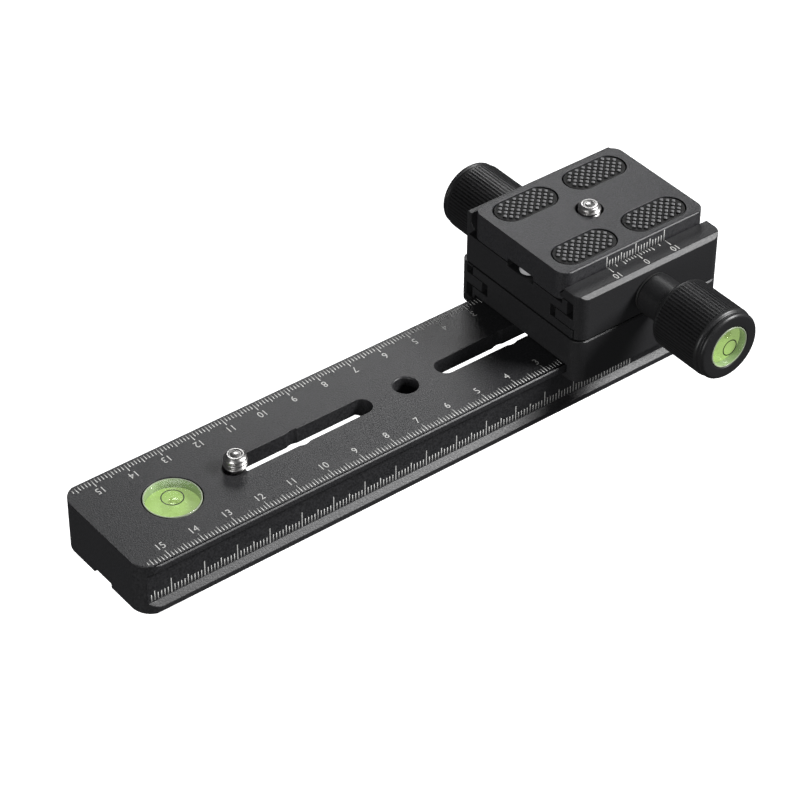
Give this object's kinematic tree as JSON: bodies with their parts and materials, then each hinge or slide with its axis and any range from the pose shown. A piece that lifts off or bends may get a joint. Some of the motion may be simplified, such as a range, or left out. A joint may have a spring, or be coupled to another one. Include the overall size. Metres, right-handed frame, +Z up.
{
  "type": "camera slider",
  "caption": "Nodal slide rail with slots, scales and bubble level, carrying a sliding double quick-release clamp with opposed knobs and a padded camera plate.",
  "frame": {"origin": "centre of the object's box on the plane of the rail's underside", "axes": "+X along the rail towards the end that carries the clamp, +Y across the rail towards the lower clamp's knob, +Z up"},
  "size_m": [0.1844, 0.1074, 0.0451],
  "materials": {
    "anodised_rail": "satin black anodised",
    "anodised_clamp": "satin black anodised",
    "anodised_plate": "bead-blasted dark grey anodised",
    "anodised_knob": "semi-gloss black anodised",
    "steel": "turned stainless steel",
    "spring_steel": "drawn wire",
    "nylon": "moulded nylon",
    "pad_rubber": "matte moulded rubber",
    "level_cup": "translucent acrylic",
    "level_fluid": "clear lime fluid",
    "level_bubble": "air bubble",
    "level_lens": "clear acrylic",
    "level_ink": "printed black ring"
  },
  "bodies": {
    "rail": {"rail": "anodised_rail", "rail_level_cup": "level_cup", "rail_level_fluid": "level_fluid", "rail_level_bubble": "level_bubble", "rail_level_lens": "level_lens", "rail_level_ring": "level_ink"},
    "slot_slider": {"slot_screw_washer": "nylon"},
    "slot_screw": {"slot_screw": "steel"},
    "clamp": {"lower_body": "anodised_clamp", "upper_body": "anodised_clamp", "joining_screw_1": "steel", "joining_screw_2": "steel", "plate_stop_pin_1": "steel", "plate_stop_pin_2": "steel", "lower_spring_1": "spring_steel", "lower_spring_2": "spring_steel", "upper_spring_1": "spring_steel", "upper_spring_2": "spring_steel"},
    "lower_jaw": {"lower_jaw": "anodised_clamp"},
    "upper_jaw": {"upper_jaw": "anodised_clamp"},
    "lower_knob": {"lower_knob": "anodised_knob", "lower_lead_screw": "steel", "lower_knob_washer": "nylon", "lower_knob_level_cup": "level_cup", "lower_knob_level_fluid": "level_fluid", "lower_knob_level_bubble": "level_bubble", "lower_knob_level_lens": "level_lens", "lower_knob_level_ring": "level_ink"},
    "upper_knob": {"upper_knob": "anodised_knob", "upper_lead_screw": "steel", "upper_knob_washer": "nylon", "upper_knob_level_cup": "level_cup", "upper_knob_level_fluid": "level_fluid", "upper_knob_level_bubble": "level_bubble", "upper_knob_level_lens": "level_lens", "upper_knob_level_ring": "level_ink"},
    "plate": {"qr_plate": "anodised_plate", "rubber_pad_1": "pad_rubber", "rubber_pad_2": "pad_rubber", "rubber_pad_3": "pad_rubber", "rubber_pad_4": "pad_rubber", "plate_stop_screw_1": "steel", "plate_stop_screw_2": "steel"},
    "plate_screw": {"plate_screw": "steel"}
  },
  "joints": [
    {"name": "clamp_slide", "type": "slide", "parent": "rail", "child": "clamp", "axis": [1, 0, 0], "range_m": [-0.088, 0.02]},
    {"name": "slot_screw_slide", "type": "slide", "parent": "rail", "child": "slot_slider", "axis": [1, 0, 0], "range_m": [-0.0005, 0.0395]},
    {"name": "slot_screw_spin", "type": "hinge", "parent": "slot_slider", "child": "slot_screw", "pos_m": [-0.05103, 0.0005, 0.0157], "axis": [0, 0, 1], "continuous": true},
    {"name": "lower_jaw_slide", "type": "slide", "parent": "clamp", "child": "lower_jaw", "axis": [0, 1, 0], "range_m": [0, 0.0045]},
    {"name": "upper_jaw_slide", "type": "slide", "parent": "clamp", "child": "upper_jaw", "axis": [0, -1, 0], "range_m": [0, 0.0045]},
    {"name": "lower_knob_spin", "type": "hinge", "parent": "lower_jaw", "child": "lower_knob", "pos_m": [0.06722, 0.0268, 0.0205], "axis": [0, 1, 0], "range_deg": [0, 2026]},
    {"name": "upper_knob_spin", "type": "hinge", "parent": "upper_jaw", "child": "upper_knob", "pos_m": [0.06722, -0.0231, 0.0315], "axis": [0, -1, 0], "range_deg": [0, 2026]},
    {"name": "plate_slide", "type": "slide", "parent": "clamp", "child": "plate", "axis": [1, 0, 0], "range_m": [-0.01, 0.01]},
    {"name": "plate_screw_spin", "type": "hinge", "parent": "plate", "child": "plate_screw", "pos_m": [0.06722, 0.00285, 0.0434], "axis": [0, 0, 1], "continuous": true}
  ],
  "couplings": [
    {"joint": "lower_knob_spin", "follows": "lower_jaw_slide", "rad_per_m": 7854},
    {"joint": "upper_knob_spin", "follows": "upper_jaw_slide", "rad_per_m": 7854}
  ]
}
